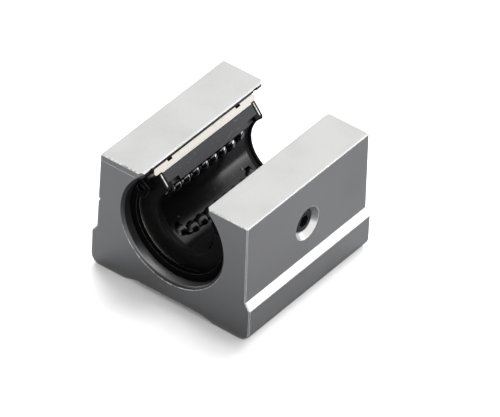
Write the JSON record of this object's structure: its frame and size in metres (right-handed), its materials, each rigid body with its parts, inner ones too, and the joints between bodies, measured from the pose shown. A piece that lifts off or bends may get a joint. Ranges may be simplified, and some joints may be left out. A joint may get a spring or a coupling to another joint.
{
  "type": "linear bearing block",
  "caption": "Aluminium block with an open, slotted ball bearing in its bore, which slides along a round shaft held on a rail.",
  "frame": {"origin": "centre of the mounting face, which is the flat face with the threaded holes", "axes": "+Z from the mounting face towards the slot, +Y along the shaft, +X towards the side wall with the set screw"},
  "size_m": [0.045, 0.045, 0.032],
  "materials": {
    "block_aluminium": "fine blasted and clear anodised extrusion, matt",
    "sleeve_steel": "hardened bearing steel, ground and lightly oiled",
    "retainer_plastic": "black moulded acetal, smooth",
    "ball_steel": "polished bearing steel",
    "seal_plate_steel": "cold rolled strip, seen only at the cut ends",
    "seal_rubber": "black nitrile rubber, satin",
    "ring_steel": "phosphated spring steel, black and oily",
    "screw_steel": "black oxide on alloy steel"
  },
  "bodies": {
    "root": {"housing_block": "block_aluminium", "bearing_sleeve": "sleeve_steel", "ball_retainer": "retainer_plastic", "ball_circuit_1": "ball_steel", "ball_circuit_2": "ball_steel", "ball_circuit_3": "ball_steel", "ball_circuit_4": "ball_steel", "front_seal_plate": "seal_plate_steel", "front_seal_rubber": "seal_rubber", "front_snap_ring": "ring_steel", "rear_seal_plate": "seal_plate_steel", "rear_seal_rubber": "seal_rubber", "rear_snap_ring": "ring_steel", "set_screw": "screw_steel"}
  },
  "joints": []
}
